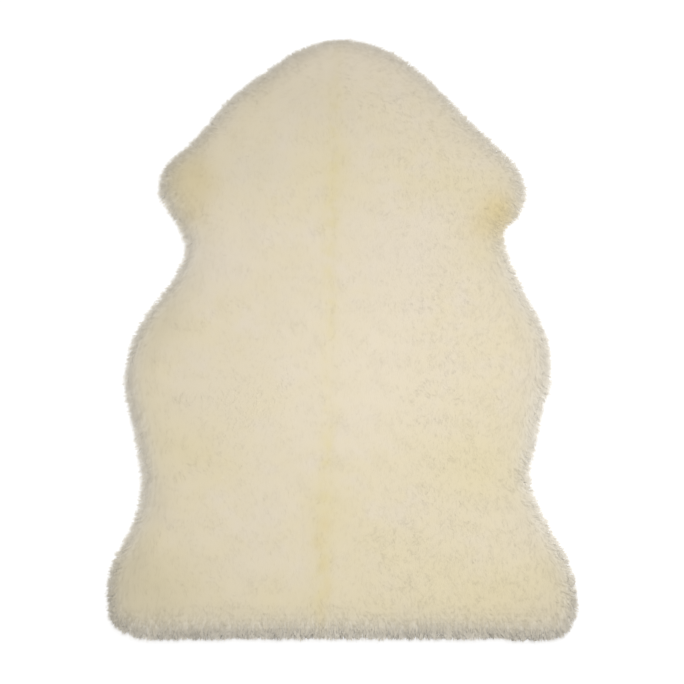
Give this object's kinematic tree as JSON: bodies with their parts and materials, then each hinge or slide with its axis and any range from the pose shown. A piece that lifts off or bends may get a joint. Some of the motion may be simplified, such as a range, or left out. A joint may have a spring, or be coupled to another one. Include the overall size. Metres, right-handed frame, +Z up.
{
  "type": "sheepskin rug",
  "caption": "Flat natural sheepskin rug: one hide in the skin's own outline, with dense combed ivory wool and ragged locks round its rim.",
  "frame": {"origin": "middle of the rug's box, on the floor under it", "axes": "+Z up, wool side up; +Y along the spine from the rump to the neck; +X to the right as seen from above with the neck away"},
  "size_m": [0.6774, 0.9626, 0.0465],
  "materials": {
    "wool": "undyed ivory sheep's wool, combed and shorn level, matt and soft, a little yellower along the spine and at the forelegs",
    "hide": "tanned sheep's hide, flesh side, pale matt suede with a raw cut edge"
  },
  "bodies": {
    "root": {"sheepskin": "wool"}
  },
  "joints": []
}
